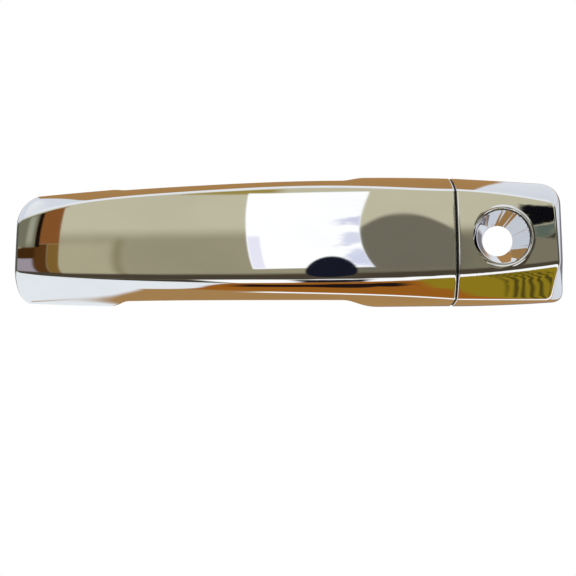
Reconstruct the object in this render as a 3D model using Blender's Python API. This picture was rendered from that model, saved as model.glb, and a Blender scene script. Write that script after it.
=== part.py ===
"""Exterior pull handle of a car door: a chromed grip and keyhole cap on the base bracket inside the door.

The frame: X runs along the handle, towards the keyhole; Y runs into the door; Z is up. The origin is
the middle of the base bracket's seat, which lies against the inside of the door skin. The skin fills
SKIN_T in front of it. Lengths in this file are millimetres, and every mesh is scaled to metres.
"""

import math

import bmesh
import bpy
import numpy as np
from mathutils import Matrix, Vector

# ---- Driving dimensions -------------------------------------------------------------------------
MM = 0.001
GAP = 0.3  # between pieces that touch
SKIN_T = 0.8  # door skin
WALL = 2.0  # chromed shells
FOOT_Y = -3.0  # back edge of the shells, just clear of the gaskets
GASKET_T = 1.7
GRIP_REAR_X = 69.6
CAP_FRONT_X = 70.3
APEX = (27.0, -40.0, 400.0)  # the face's highest line: X, Y, and its radius along the handle
CROWN_Z, CROWN_R = -5.5, 85.0  # the face's crown across the handle
FACET_SLOPE = 1.15  # of the chamfer under the face
WALL_BULGE = 0.75  # how much the side walls bow outwards
GRIP_T = 16.0  # from the face's apex to the grip's back edge
FINGER_FRONT, FINGER_REAR = (-77.0, -68.0), (23.0, 39.0)  # where the back edge rises off the door
PIVOT = (-105.0, 10.0)  # X, Y of the grip's hinge
CRANK = (22.25, -11.0)  # Y, Z of the bell crank's shaft
CRANK_LEAN = math.radians(24.25)  # the input arm, from upright towards the door's inside
DRIVE_PIN = (54.0, 38.5, 11.0)
KEY = (89.7, 0.0)  # X, Z of the keyhole's mouth
KEY_INNER = (89.2, -0.7)  # X, Z of its inner end
KEY_MOUTH_R, KEY_HOLE_R, KEY_HOLE_Y = 12.0, 6.45, -13.5
SLEEVE = (90.2, 0.6)  # X, Z of the lock sleeve behind it
CAP_BOLT = (9.0, -9.0)  # Y, Z
FRONT_BOLT, REAR_BOLT = (-84.0, 0.0), (65.0, 14.0)  # X, Z
GRIP_SCREWS = (-58.0, -18.0, 17.0)
SIDES = 24  # facets round a turned piece


def line(points, degree):
    """A fair curve Z(X) near a few design points: least squares on a low degree leaves no waves."""
    xs, zs = zip(*points)
    return np.poly1d(np.polyfit(xs, zs, degree))


# Plan lines. The crease lines bound the face, the base lines bound the foot at the door.
GRIP_CREASE = (
    line(
        [
            (-115, 11.2), (-105, 14.5), (-97, 16.6), (-88, 18.4),
            (-56, 20.4), (-13, 21.9), (38, 21.2), (70, 19.7),
        ],
        5,
    ),
    line(
        [(-115, -11.3), (-91, -15.2), (-72, -17.4), (-45, -19.5), (-13, -21.3), (38, -23.7), (70, -25.8)],
        3,
    ),
)
GRIP_BASE = (
    line([(-115, 22.2), (-99, 23.0), (-77, 24.9), (-13, 27.9), (38, 28.0), (70, 27.3)], 3),
    line([(-115, -23.4), (-102, -24.2), (-77, -25.0), (-13, -27.2), (38, -27.2), (70, -27.8)], 3),
)
CAP_CREASE = (
    line([(70, 19.7), (80, 19.0), (96, 16.9), (113, 13.6)], 2),
    line([(70, -25.8), (94, -26.2), (113, -26.3)], 2),
)
CAP_BASE = (
    line([(70, 27.3), (90, 25.9), (118, 23.7)], 2),
    line([(70, -27.8), (90, -27.7), (118, -26.6)], 2),
)
SHOULDER = line(
    [(-115, -12.0), (-72, -15.6), (-13, -17.4), (30, -18.4), (68, -17.2), (90, -15.4), (112, -13.1)],
    4,
)


# ---- The outer surface --------------------------------------------------------------------------
def apex_y(x):
    """Depth of the face's highest line."""
    return APEX[1] + (x - APEX[0]) ** 2 / (2 * APEX[2])


def face_y(x, z):
    """Depth of the face: a crown, met by the chamfer below the shoulder in a soft edge."""
    crown = (z - CROWN_Z) ** 2 / (2 * CROWN_R)
    facet = 0.9 + FACET_SLOPE * (SHOULDER(x) - z)
    soft = 1.6
    return apex_y(x) + (crown + facet + math.sqrt((crown - facet) ** 2 + soft**2)) / 2 - soft / 4


def smooth_step(low, high, x):
    t = min(1.0, max(0.0, (x - low) / (high - low)))
    return t * t * (3 - 2 * t)


def grip_back_y(x):
    """Depth of the grip's back edge: at the door under both feet, lifted between them for the fingers."""
    lifted = apex_y(x) + GRIP_T
    share = smooth_step(*FINGER_FRONT, x) - smooth_step(*FINGER_REAR, x)
    return FOOT_Y + (lifted - FOOT_Y) * share


def cap_back_y(_x):
    return FOOT_Y


def bezier(a, b, c, t):
    return a * (1 - t) ** 2 + b * 2 * t * (1 - t) + c * t * t


def plan_loop(plan, counts, inset):
    """A closed loop of (X, Z) in four sides: top rightwards, right downwards, then back and up.

    The plan holds the top and bottom curves as Z(X), the left and right edges as X(Z), and the corners
    from top left round as (reach along X, reach along Z, flatness). The loop is moved inwards by inset.
    Corner points are shared out evenly between the two sides.
    """
    top, bottom, left, right, corner_sizes = plan
    along, across, corner = counts

    def at_top(x):
        return np.array([x, top(x) - inset])

    def at_bottom(x):
        return np.array([x, bottom(x) + inset])

    def at_left(z):
        return np.array([left(z) + inset, z])

    def at_right(z):
        return np.array([right(z) - inset, z])

    def meet(edge, side):
        x = side(0)[0]
        for _ in range(4):
            x = side(edge(x)[1])[0]
        return edge(x)

    tl, tr = meet(at_top, at_left), meet(at_top, at_right)
    br, bl = meet(at_bottom, at_right), meet(at_bottom, at_left)
    sizes = [(max(0.35, size_x - inset), max(0.35, size_z - inset)) for size_x, size_z, _ in corner_sizes]
    (tl_x, tl_z), (tr_x, tr_z), (br_x, br_z), (bl_x, bl_z) = sizes
    spans = (
        (at_top, tl[0] + tl_x, tr[0] - tr_x, along),
        (at_right, tr[1] - tr_z, br[1] + br_z, across),
        (at_bottom, br[0] - br_x, bl[0] + bl_x, along),
        (at_left, bl[1] + bl_z, tl[1] - tl_z, across),
    )
    runs = [[f(v) for v in np.linspace(a, b, n)] for f, a, b, n in spans]
    arcs = []
    for k, (tip, (_, _, flatness)) in enumerate(zip((tl, tr, br, bl), corner_sizes)):
        before, after = runs[k - 1][-1], runs[k][0]
        tip = tip + ((before + after) / 2 - tip) * flatness
        arcs.append((before, tip, after))
    steps = np.arange(1, corner) / (2 * corner)
    sides = []
    for k, run in enumerate(runs):
        into = [bezier(*arcs[k], 0.5 + t) for t in np.append(0, steps)]
        out = [bezier(*arcs[(k + 1) % 4], t) for t in steps]
        sides.append(into + run + out)
    return sides


def flat_loop(sides):
    return [p for side in sides for p in side]


class Shell:
    """A chromed cover: a face inside a crease loop, and side walls that flare to a base loop."""

    def __init__(self, crease, base, back_y, counts):
        self.crease, self.base, self.back_y, self.counts = crease, base, back_y, counts

    def face_loop(self, inset):
        return plan_loop(self.crease, self.counts, inset)

    def wall_lines(self, inwards):
        """The crease and base points of the wall, inwards of the outer surface, and the crease depths."""
        outer = flat_loop(self.face_loop(0.0))
        depths = [face_y(*point) + inwards for point in outer]
        top = flat_loop(self.face_loop(inwards))
        foot = flat_loop(plan_loop(self.base, self.counts, inwards))
        return list(zip(top, foot, depths))

    def wall_rings(self, shares, inwards, lift=0.0):
        """Rings round the wall: a share of 0 is the crease and 1 is lift above the back edge."""
        lines = self.wall_lines(inwards)
        ends = [self.end_share(line, lift) for line in lines]
        return [[wall_point(line, share * end) for line, end in zip(lines, ends)] for share in shares]

    def end_share(self, line, lift):
        """The share of the wall's whole height at its back edge."""
        x, share = line[1][0], 1.0
        for _ in range(3):
            share = (self.back_y(x) - lift - line[2]) / (FOOT_Y - line[2])
            share = min(1.0, max(0.05, share))
            x = wall_point(line, share)[0]
        return share

    def edge_rings(self, radius, steps):
        """Rings round the soft edge between wall and face, wall side first."""
        rings = []
        for t in np.linspace(0, 1, steps + 1):
            ring = []
            for line, inner in zip(self.wall_lines(0.0), flat_loop(self.face_loop(radius))):
                low = wall_point(line, radius / (FOOT_Y - line[2]))
                mid = wall_point(line, 0.0)
                high = np.array([inner[0], face_y(*inner), inner[1]])
                ring.append(bezier(low, mid, high, t))
            rings.append(ring)
        return rings

    def face_ring(self, inset, depth):
        return [np.array([x, depth(x, z), z]) for x, z in flat_loop(self.face_loop(inset))]


def wall_point(line, share):
    """A point down the bowed wall, from its crease to its base."""
    top, foot, top_y = line
    bow = share + WALL_BULGE * share * (1 - share)
    plan = top + (foot - top) * bow
    return np.array([plan[0], top_y + (FOOT_Y - top_y) * share, plan[1]])


def coons(sides, depth):
    """A grid over the inside of a loop. Its rim is the loop itself, and depth gives Y at (X, Z)."""
    top, right, bottom, left = sides
    top = top + [right[0]]
    right = right + [bottom[0]]
    bottom = (bottom + [left[0]])[::-1]
    left = (left + [sides[0][0]])[::-1]
    n, m = len(top), len(left)
    rows = []
    for j in range(m):
        v = j / (m - 1)
        row = []
        for i in range(n):
            u = i / (n - 1)
            p = (1 - v) * top[i] + v * bottom[i] + (1 - u) * left[j] + u * right[j]
            p = p - (1 - u) * (1 - v) * top[0] - u * (1 - v) * top[-1]
            p = p - (1 - u) * v * bottom[0] - u * v * bottom[-1]
            row.append(np.array([p[0], depth(p[0], p[1]), p[1]]))
        rows.append(row)
    return rows


class Skin:
    """Collects rings and grids of points, welds them, and makes one object."""

    def __init__(self):
        self.bm = bmesh.new()

    def point(self, p):
        return self.bm.verts.new(Vector(p) * MM)

    def face(self, corners):
        corners = list(dict.fromkeys(corners))
        if len(corners) > 2:
            self.bm.faces.new(corners)

    def rings(self, rings, closed=False):
        made = [[self.point(p) for p in ring] for ring in rings]
        pairs = list(zip(made, made[1:]))
        if closed:
            pairs.append((made[-1], made[0]))
        for a, b in pairs:
            for k in range(len(a)):
                n = (k + 1) % len(a)
                self.face([a[k], a[n], b[n], b[k]])

    def grid(self, rows):
        made = [[self.point(p) for p in row] for row in rows]
        for a, b in zip(made, made[1:]):
            for i in range(len(a) - 1):
                self.face([a[i], a[i + 1], b[i + 1], b[i]])

    def finish(self, name, smooth_deg=35.0):
        bmesh.ops.remove_doubles(self.bm, verts=self.bm.verts, dist=1e-6)
        bmesh.ops.recalc_face_normals(self.bm, faces=self.bm.faces)
        mesh = bpy.data.meshes.new(name)
        self.bm.to_mesh(mesh)
        self.bm.free()
        mesh.shade_smooth()
        mesh.set_sharp_from_angle(angle=math.radians(smooth_deg))
        return add_object(name, mesh)


# ---- Blender helpers ----------------------------------------------------------------------------
def add_object(name, mesh, collection=None):
    obj = bpy.data.objects.new(name, mesh)
    (collection or PARTS).objects.link(obj)
    return obj


def from_bmesh(name, bm):
    mesh = bpy.data.meshes.new(name)
    bm.to_mesh(mesh)
    bm.free()
    mesh.shade_smooth()
    mesh.set_sharp_from_angle(angle=math.radians(35))
    return add_object(name, mesh)


def box(name, low, high, bevel=0.0):
    """A box between two corners, with its edges rounded."""
    low, high = Vector(low) * MM, Vector(high) * MM
    bm = bmesh.new()
    bmesh.ops.create_cube(bm, size=1.0)
    bmesh.ops.scale(bm, vec=high - low, verts=bm.verts)
    bmesh.ops.translate(bm, vec=(high + low) / 2, verts=bm.verts)
    if bevel:
        bmesh.ops.bevel(bm, geom=bm.edges, offset=bevel * MM, segments=2, affect="EDGES", profile=0.5)
    return from_bmesh(name, bm)


TURNS = {
    "X": Matrix.Rotation(math.pi / 2, 4, "Y"),
    "Y": Matrix.Rotation(-math.pi / 2, 4, "X"),
    "Z": Matrix.Identity(4),
}


def rod(name, axis, start, length, radius, end_radius=None, sides=SIDES):
    """A cylinder or cone whose axis runs from start along +X, +Y or +Z."""
    bm = bmesh.new()
    bmesh.ops.create_cone(
        bm, cap_ends=True, segments=sides, radius1=radius * MM,
        radius2=(radius if end_radius is None else end_radius) * MM, depth=length * MM,
    )
    bmesh.ops.translate(bm, vec=(0, 0, length * MM / 2), verts=bm.verts)
    bmesh.ops.transform(bm, matrix=TURNS[axis], verts=bm.verts)
    bmesh.ops.translate(bm, vec=Vector(start) * MM, verts=bm.verts)
    return from_bmesh(name, bm)


def turned(name, axis, start, profile, sides=SIDES):
    """A solid turned about an axis through start: profile is (distance along, radius), and the last
    point joins the first. Radius 0 lies on the axis."""
    bm = bmesh.new()
    rings = []
    for along, radius in profile:
        steps = sides if radius > 0 else 1
        angles = [2 * math.pi * k / steps for k in range(steps)]
        spots = [(radius * math.cos(a), radius * math.sin(a), along) for a in angles]
        rings.append([bm.verts.new(Vector(spot) * MM) for spot in spots])
    pairs = list(zip(rings, rings[1:] + rings[:1]))
    for a, b in pairs:
        if len(a) == 1 and len(b) == 1:
            continue
        for k in range(sides):
            n = (k + 1) % sides
            corners = [a[k % len(a)], a[n % len(a)], b[n % len(b)], b[k % len(b)]]
            corners = list(dict.fromkeys(corners))
            bm.faces.new(corners)
    bmesh.ops.recalc_face_normals(bm, faces=bm.faces)
    bmesh.ops.transform(bm, matrix=TURNS[axis], verts=bm.verts)
    bmesh.ops.translate(bm, vec=Vector(start) * MM, verts=bm.verts)
    return from_bmesh(name, bm)


def plate(name, outline, axis, start, thickness):
    """A flat outline given thickness. The outline is in the two axes that follow axis in X, Y, Z, X."""
    curve = bpy.data.curves.new(name, "CURVE")
    curve.dimensions = "2D"
    curve.fill_mode = "BOTH"
    curve.extrude = thickness * MM / 2
    spline = curve.splines.new("POLY")
    spline.points.add(len(outline) - 1)
    for point, (u, v) in zip(spline.points, outline):
        point.co = (u * MM, v * MM, 0, 1)
    spline.use_cyclic_u = True
    guide = bpy.data.objects.new(name + "_outline", curve)
    bpy.context.scene.collection.objects.link(guide)
    columns = {
        "X": ((0, 1, 0), (0, 0, 1), (1, 0, 0)),
        "Y": ((0, 0, 1), (1, 0, 0), (0, 1, 0)),
        "Z": ((1, 0, 0), (0, 1, 0), (0, 0, 1)),
    }
    turn = Matrix(columns[axis]).transposed().to_4x4()
    middle = Vector([float(axis == a) for a in "XYZ"]) * (start + thickness / 2) * MM
    bpy.context.view_layer.update()
    mesh = bpy.data.meshes.new_from_object(guide.evaluated_get(bpy.context.evaluated_depsgraph_get()))
    bpy.data.objects.remove(guide)
    bm = bmesh.new()
    bm.from_mesh(mesh)
    bmesh.ops.remove_doubles(bm, verts=bm.verts, dist=1e-6)
    bmesh.ops.transform(bm, matrix=Matrix.Translation(middle) @ turn, verts=bm.verts)
    bmesh.ops.recalc_face_normals(bm, faces=bm.faces)
    return from_bmesh(name, bm)


def combine(obj, others, operation):
    """Joins the others to obj, or cuts them from it, and removes them."""
    for other in others:
        modifier = obj.modifiers.new(operation.lower(), "BOOLEAN")
        modifier.operation = operation
        modifier.solver = "EXACT"
        modifier.object = other
    bpy.context.view_layer.update()
    made = bpy.data.meshes.new_from_object(obj.evaluated_get(bpy.context.evaluated_depsgraph_get()))
    obj.modifiers.clear()
    obj.data = made
    for other in others:
        bpy.data.objects.remove(other)
    return obj


def fuse(obj, *others):
    return combine(obj, others, "UNION")


def cut(obj, *others):
    return combine(obj, others, "DIFFERENCE")


def set_origin(obj, origin):
    """Moves the object's origin, leaving its mesh where it is."""
    shift = Vector(origin) * MM
    obj.data.transform(Matrix.Translation(-shift))
    obj.location = shift


def material(name, colour, roughness, metallic):
    made = bpy.data.materials.new(name)
    made.use_nodes = True
    shader = made.node_tree.nodes["Principled BSDF"]
    shader.inputs["Base Color"].default_value = (*colour, 1)
    shader.inputs["Roughness"].default_value = roughness
    shader.inputs["Metallic"].default_value = metallic
    return made


# ---- The chromed shells -------------------------------------------------------------------------
GRIP_COUNTS, CAP_COUNTS = (26, 6, 3), (10, 8, 3)


SEAM = (0.8, 0.8, 0.0)


def cap_crease_rear(z):
    """X of the cap's rear crease, which leans back in below the shoulder."""
    return 112.4 - 0.05 * z - 0.17 * max(0.0, -11.0 - z)


def grip_shell():
    seam = np.poly1d([GRIP_REAR_X])
    crease = (*GRIP_CREASE, np.poly1d([0.053, -115.0]), seam, ((2.6, 2.6, 0.0), SEAM, SEAM, (3.0, 2.6, 0.0)))
    base = (*GRIP_BASE, np.poly1d([0.053, -116.3]), seam, ((9.0, 9.5, 0.3), SEAM, SEAM, (6.5, 12.0, 0.3)))
    return Shell(crease, base, grip_back_y, GRIP_COUNTS)


def cap_shell():
    seam = np.poly1d([CAP_FRONT_X])
    crease = (*CAP_CREASE, seam, cap_crease_rear, (SEAM, (3.0, 3.0, 0.0), (3.0, 3.0, 0.0), SEAM))
    base = (*CAP_BASE, seam, np.poly1d([-0.012, 117.7]), (SEAM, (8.5, 8.5, 0.1), (5.0, 5.0, 0.0), SEAM))
    return Shell(crease, base, cap_back_y, CAP_COUNTS)


def inner_face_y(x, z):
    return face_y(x, z) + WALL


def add_grip_cover():
    """The grip's chromed shell, with three posts inside for the screws."""
    shell, skin = grip_shell(), Skin()
    radius = 1.6
    walls = shell.wall_rings((1.0, 0.55, 0.2), 0.0)
    inner = [shell.face_ring(WALL, inner_face_y)] + shell.wall_rings((0.5, 1.0), WALL)
    skin.rings(inner + walls + shell.edge_rings(radius, 3))
    skin.grid(coons(shell.face_loop(radius), face_y))
    skin.grid(coons(shell.face_loop(WALL), inner_face_y))
    cover = skin.finish("grip_cover")
    posts = []
    for x in GRIP_SCREWS:
        root = inner_face_y(x, 0) - 0.6
        tip = min(grip_back_y(x - 3.6), grip_back_y(x + 3.6)) - LINER_T - GAP
        post = rod("post", "Y", (x, root, 0), tip - root, 3.6, sides=16)
        posts.append(cut(post, rod("pilot", "Y", (x, root + 2.0, 0), 20, 1.9, sides=16)))
    return fuse(cover, *posts)


def add_end_cap():
    """The fixed chromed cap behind the grip, dished round the keyhole. It is one loft of closed rings."""
    shell, skin = cap_shell(), Skin()
    radius = 1.1
    walls = shell.wall_rings((1.0, 0.5, 0.15), 0.0)
    start = flat_loop(shell.face_loop(radius))
    outside = key_rings(start, (0.35, 0.7, 1.0), KEY_MOUTH_R + 0.9, face_y)
    lip_y = face_y(*KEY)
    funnel = [
        key_circle(start, KEY_MOUTH_R, lip_y + 0.5),
        key_circle(start, KEY_MOUTH_R - 1.3, lip_y + 2.2),
        key_circle(start, KEY_HOLE_R, KEY_HOLE_Y - 0.6, 1.0),
        key_circle(start, KEY_HOLE_R, KEY_HOLE_Y, 1.0),
        key_circle(start, KEY_HOLE_R + 1.6, KEY_HOLE_Y, 1.0),
        key_circle(start, KEY_MOUTH_R + 0.4, lip_y + WALL + 2.4),
    ]
    inner_start = flat_loop(shell.face_loop(WALL))
    inside = key_rings(inner_start, (1.0, 0.5, 0.0), KEY_MOUTH_R + 1.2, inner_face_y)
    inner_walls = shell.wall_rings((0.5, 1.0), WALL)
    skin.rings(walls + shell.edge_rings(radius, 3) + outside + funnel + inside + inner_walls, closed=True)
    return skin.finish("end_cap")


def key_circle(loop, radius, y, inner=0.0):
    """A circle round the keyhole, its points facing those of the loop. inner is 0 at the mouth, 1 within."""
    cx, cz = np.array(KEY) * (1 - inner) + np.array(KEY_INNER) * inner
    ring = []
    for point in loop:
        angle = math.atan2(point[1] - KEY[1], point[0] - KEY[0])
        ring.append(np.array([cx + radius * math.cos(angle), y, cz + radius * math.sin(angle)]))
    return ring


def key_rings(loop, shares, radius, depth):
    """Rings over the face between the loop and a circle round the keyhole."""
    circle = key_circle(loop, radius, 0.0)
    rings = []
    for share in shares:
        ring = []
        for point, end in zip(loop, circle):
            x = point[0] + (end[0] - point[0]) * share
            z = point[1] + (end[2] - point[1]) * share
            ring.append(np.array([x, depth(x, z), z]))
        rings.append(ring)
    return rings


# ---- Black mouldings inside the shells ----------------------------------------------------------
LINER_T = 5.0


def closing_plate(name, shell, bulge):
    """The moulding that closes a shell's open back, bowed out by bulge where the fingers pull."""
    skin = Skin()
    sections = [shell.wall_rings((1.0,), WALL + GAP + 0.15, lift)[0] for lift in (LINER_T, 0.0)]
    skin.rings(sections)
    for ring, lift, swell in zip(sections, (LINER_T, 0.0), (0.0, bulge)):
        rim = {tuple(np.round(p[[0, 2]], 6)): p for p in ring}
        plan, at = [], 0
        for side in shell.face_loop(0.0):
            plan.append([p[[0, 2]] for p in ring[at : at + len(side)]])
            at += len(side)

        def depth(x, z, lift=lift, swell=swell):
            fingers = smooth_step(*FINGER_FRONT, x) - smooth_step(*FINGER_REAR, x)
            return shell.back_y(x) - lift + swell * fingers * max(0.0, 1 - (z / 20.0) ** 2)

        rows = coons(plan, depth)
        skin.grid([[rim.get(tuple(np.round(p[[0, 2]], 6)), p) for p in row] for row in rows])
    return skin.finish(name)


def add_grip_carrier():
    """The grip's inner moulding: finger side, hinge hook in front, and the leg that works the crank."""
    carrier = closing_plate("grip_carrier", grip_shell(), 2.2)
    px, py = PIVOT
    hook = box("hook", (px - 5, FOOT_Y - 3, -6), (px + 5, py, 6), 0.6)
    eye = rod("eye", "Z", (px, py, -6), 12, 6.0)
    brace = box("brace", (px - 4, FOOT_Y - 4, -11), (px + 12, FOOT_Y - 1, 11), 0.5)
    dx, dy, dz = DRIVE_PIN
    leg = box("leg", (dx - 11, FOOT_Y - 3, dz - 5), (dx - 3, dy + 4, dz + 5), 0.8)
    gusset = box("gusset", (dx - 14, FOOT_Y - 4, dz - 8), (dx + 1, FOOT_Y - 1, dz + 8), 0.5)
    fuse(carrier, hook, eye, brace, leg, gusset)
    cut(carrier, rod("bore", "Z", (px, py, -7), 14, 3.9))
    cut(carrier, rod("pin_bore", "X", (dx - 12, dy, dz), 12, 2.5 + GAP, sides=16))
    holes = []
    for x in GRIP_SCREWS:
        y = grip_back_y(x)
        holes.append(rod("clear_hole", "Y", (x, y - LINER_T - 3, 0), 16, 2.2, sides=16))
        holes.append(rod("counterbore", "Y", (x, y - 1.6, 0), 9, 4.0, sides=16))
    cut(carrier, *holes)
    set_origin(carrier, (px, py, 0))
    return carrier


def add_cap_carrier():
    """The cap's inner moulding, with the tongue that the cap bolt draws up."""
    carrier = closing_plate("cap_carrier", cap_shell(), 0.0)
    y, z = CAP_BOLT
    tongue = box("tongue", (100.8, FOOT_Y - 3, z - 5.5), (107.3, y + 5.5, z + 5.5), 0.6)
    fuse(carrier, tongue)
    return cut(
        carrier,
        rod("key_way", "Y", (SLEEVE[0], -12, SLEEVE[1]), 14, 10.3 + GAP, sides=32),
        rod("bolt_way", "X", (100, y, z), 8, 2.5 + GAP, sides=16),
        rod("sleeve_room", "Y", (SLEEVE[0], 8, SLEEVE[1]), 10, 12.6 + GAP, sides=32),
    )


# ---- The base bracket and what it carries -------------------------------------------------------
def add_base_bracket():
    """The moulded frame inside the door: seat plate, stiffening rims, hinge ears and crank ears."""
    px, py = PIVOT
    cy, cz = CRANK
    outline = [
        (-14, -111), (-10, -115), (10, -115), (14, -111), (15, -74), (11, -68), (11, 18), (22, 26), (22, 106),
        (18, 110), (-16, 110), (-21, 105), (-21, 26), (-11, 18), (-11, -68), (-15, -74),
    ]
    bracket = plate("base_bracket", outline, "Y", 0.0, 3.0)
    rims = [
        box("rim", (-70, 1, 8.6), (20, 8, 10.8)),
        box("rim", (-70, 1, -10.8), (20, 8, -8.6)),
        box("rim", (24, 1, 19.4), (106, 8, 21.6)),
        box("rim", (74, 1, -20.6), (105, 8, -18.4)),
    ]
    ribs = [box("rib", (x - 1, 1, -9.5), (x + 1, 7, 9.5)) for x in (-68, -38, -12, 12)]
    centre_pad = box("pad", (-13, 0.5, -9), (13, 5, 9))
    hinge_ears = [box("ear", (px - 8.5, 1, z), (px + 8, py + 6, z + 3.6), 0.4) for z in (6.6, -10.2)]
    crank_ears = [box("ear", (x, 1, cz - 7), (x + 3, cy + 6, cz + 6.5), 0.4) for x in (25.0, 71.0)]
    barrel = rod("barrel", "Y", (SLEEVE[0], 1, SLEEVE[1]), 9, 13.0, sides=32)
    end_wall = box("end_wall", (107.8, 1, -19), (110, CAP_BOLT[0] + 6, 2), 0.3)
    bosses = [rod("boss", "Y", (x, 1, z), 8, 6.2) for x, z in (FRONT_BOLT, REAR_BOLT)]
    fuse(bracket, *rims, *ribs, centre_pad, *hinge_ears, *crank_ears, barrel, end_wall, *bosses)
    dx, _, dz = DRIVE_PIN
    cut(
        bracket,
        box("hook_way", (px - 7.3, -1, -6.4), (px + 6.2, 12, 6.4)),
        rod("hinge_bore", "Z", (px, py, -12), 24, 2.5 + GAP),
        box("leg_way", (dx - 13, -1, dz - 6.5), (dx - 0.5, 12, dz + 6.5)),
        rod("key_way", "Y", (SLEEVE[0], -1, SLEEVE[1]), 20, 10.3 + GAP, sides=32),
        box("tongue_way", (98.0, -1, CAP_BOLT[1] - 6.5), (107.8 + 0.05, 4, CAP_BOLT[1] + 6.5)),
        box("tongue_room", (98.0, 2, CAP_BOLT[1] - 6.5), (107.75, 16, CAP_BOLT[1] + 6.5)),
        rod("bolt_way", "X", (106, *CAP_BOLT), 6, 2.5 + GAP, sides=16),
        rod("crank_bore", "X", (24, cy, cz), 52, 2.5 + GAP),
    )
    cut(bracket, *[rod("insert_seat", "Y", (x, -1, z), 12, 4.6 + GAP) for x, z in (FRONT_BOLT, REAR_BOLT)])
    windows = [box("window", (a, -1, -6.5), (b, 4, 6.5)) for a, b in ((-64, -41), (-35, -15), (14.5, 22))]
    return cut(bracket, *windows)


def add_bushes_and_pins():
    px, py = PIVOT
    cy, cz = CRANK
    turned("pivot_bush", "Z", (px, py, -6.2), [(0, 2.75), (0, 3.6), (12.4, 3.6), (12.4, 2.75)])
    pin = [(0, 0), (0, 2.0), (0.5, 2.5), (23.2, 2.5), (23.2, 4.2), (24.8, 4.2), (24.8, 0)]
    turned("pivot_pin", "Z", (px, py, -12.4), pin)
    turned("pivot_clip", "Z", (px, py, -11.9), [(0, 2.8), (0, 4.6), (1.0, 4.6), (1.0, 2.8)])
    shaft = [(0, 0), (0, 4.0), (1.6, 4.0), (1.6, 2.5), (52.7, 2.5), (53.2, 2.0), (53.2, 0)]
    turned("crank_shaft", "X", (23.0, cy, cz), shaft)
    turned("crank_shaft_clip", "X", (74.3, cy, cz), [(0, 2.8), (0, 4.6), (1.0, 4.6), (1.0, 2.8)])
    dx, dy, dz = DRIVE_PIN
    drive = [(0, 0), (0, 2.5), (17.4, 2.5), (17.9, 2.0), (17.9, 0)]
    drive_pin = turned("drive_pin", "X", (dx - 11.6, dy, dz), drive, 16)
    set_origin(drive_pin, (dx, dy, dz))


def arm_outline(centre, angle, length, half):
    """A lever's outline from a hub, round at both ends. Angle is from +Y towards +Z."""
    cy, cz = centre
    points = []
    tip_y, tip_z = cy + length * math.cos(angle), cz + length * math.sin(angle)
    for k in range(9):
        a = angle - math.pi / 2 + math.pi * k / 8
        points.append((tip_y + half * math.cos(a), tip_z + half * math.sin(a)))
    for k in range(9):
        a = angle + math.pi / 2 + math.pi * k / 8
        points.append((cy + half * math.cos(a), cz + half * math.sin(a)))
    return points


INPUT_ANGLE = math.pi / 2 - CRANK_LEAN
OUTPUT_ANGLE = math.radians(-8)
OUTPUT_LENGTH = 17.0
WEIGHT_OFFSET = (-4.2, -9.0)  # Y, Z from the crank's shaft
WEIGHT_R = 4.2


def add_bell_crank():
    """The lever that turns the leg's pull into the rod's lift, on a long hub with a web for the weight."""
    cy, cz = CRANK
    hub = rod("bell_crank", "X", (28.6, cy, cz), 41.6, 4.6)
    input_arm = plate("input_arm", arm_outline(CRANK, INPUT_ANGLE, 21.0, 3.0), "X", 55.0, 4.0)
    output_arm = plate("output_arm", arm_outline(CRANK, OUTPUT_ANGLE, OUTPUT_LENGTH, 3.4), "X", 63.4, 4.0)
    weight_angle = math.atan2(WEIGHT_OFFSET[1], WEIGHT_OFFSET[0])
    web = plate("web", arm_outline(CRANK, weight_angle, 8.5, 3.6), "X", 37.0, 4.6)
    fuse(hub, input_arm, output_arm, web)
    oy, oz = cy + OUTPUT_LENGTH * math.cos(OUTPUT_ANGLE), cz + OUTPUT_LENGTH * math.sin(OUTPUT_ANGLE)
    wy, wz = cy + WEIGHT_OFFSET[0], cz + WEIGHT_OFFSET[1]
    cut(
        hub,
        rod("shaft_bore", "X", (28, cy, cz), 43, 2.5 + GAP),
        rod("clip_hole", "X", (62, oy, oz), 7, 1.9, sides=16),
        rod("rivet_hole", "X", (36, wy, wz), 7, 1.5 + GAP, sides=16),
        box("weight_room", (41.9, cy - 14, cz - 20), (54, cy + 6, cz - 4.95)),
    )
    set_origin(hub, (0, cy, cz))
    small = WEIGHT_R - 0.5
    disc = [(0, 1.8), (0, small), (0.5, WEIGHT_R), (11, WEIGHT_R), (11.5, small), (11.5, 1.8)]
    weight = turned("counterweight", "X", (42.0 + GAP, wy, wz), disc)
    shank = [(0, 0), (0, 1.6), (0.7, 2.7), (1.8, 2.7), (1.8, 1.5), (20.2, 1.5), (20.2, 0)]
    rivet = turned("weight_rivet", "X", (34.9, wy, wz), shank, 16)
    leaf = [(-3.4, -9), (3.4, -9), (3.4, 2.2), (2.2, 3.4), (-2.2, 3.4), (-3.4, 2.2)]
    clip = plate("rod_clip", [(oy + u, oz + v) for u, v in leaf], "X", 67.4 + GAP, 2.6)
    fuse(clip, rod("stem", "X", (62.8, oy, oz), 6.5, 1.6, sides=16))
    cut(clip, box("rod_slot", (67, oy - 1.6, oz - 10), (71, oy + 1.6, oz - 4)))
    for piece in (weight, rivet):
        set_origin(piece, (0, cy, cz))
    set_origin(clip, (67.4, oy, oz))


SPRING_WIRE, SPRING_TURNS, SPRING_START = 1.2, 4, 30.2


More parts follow.
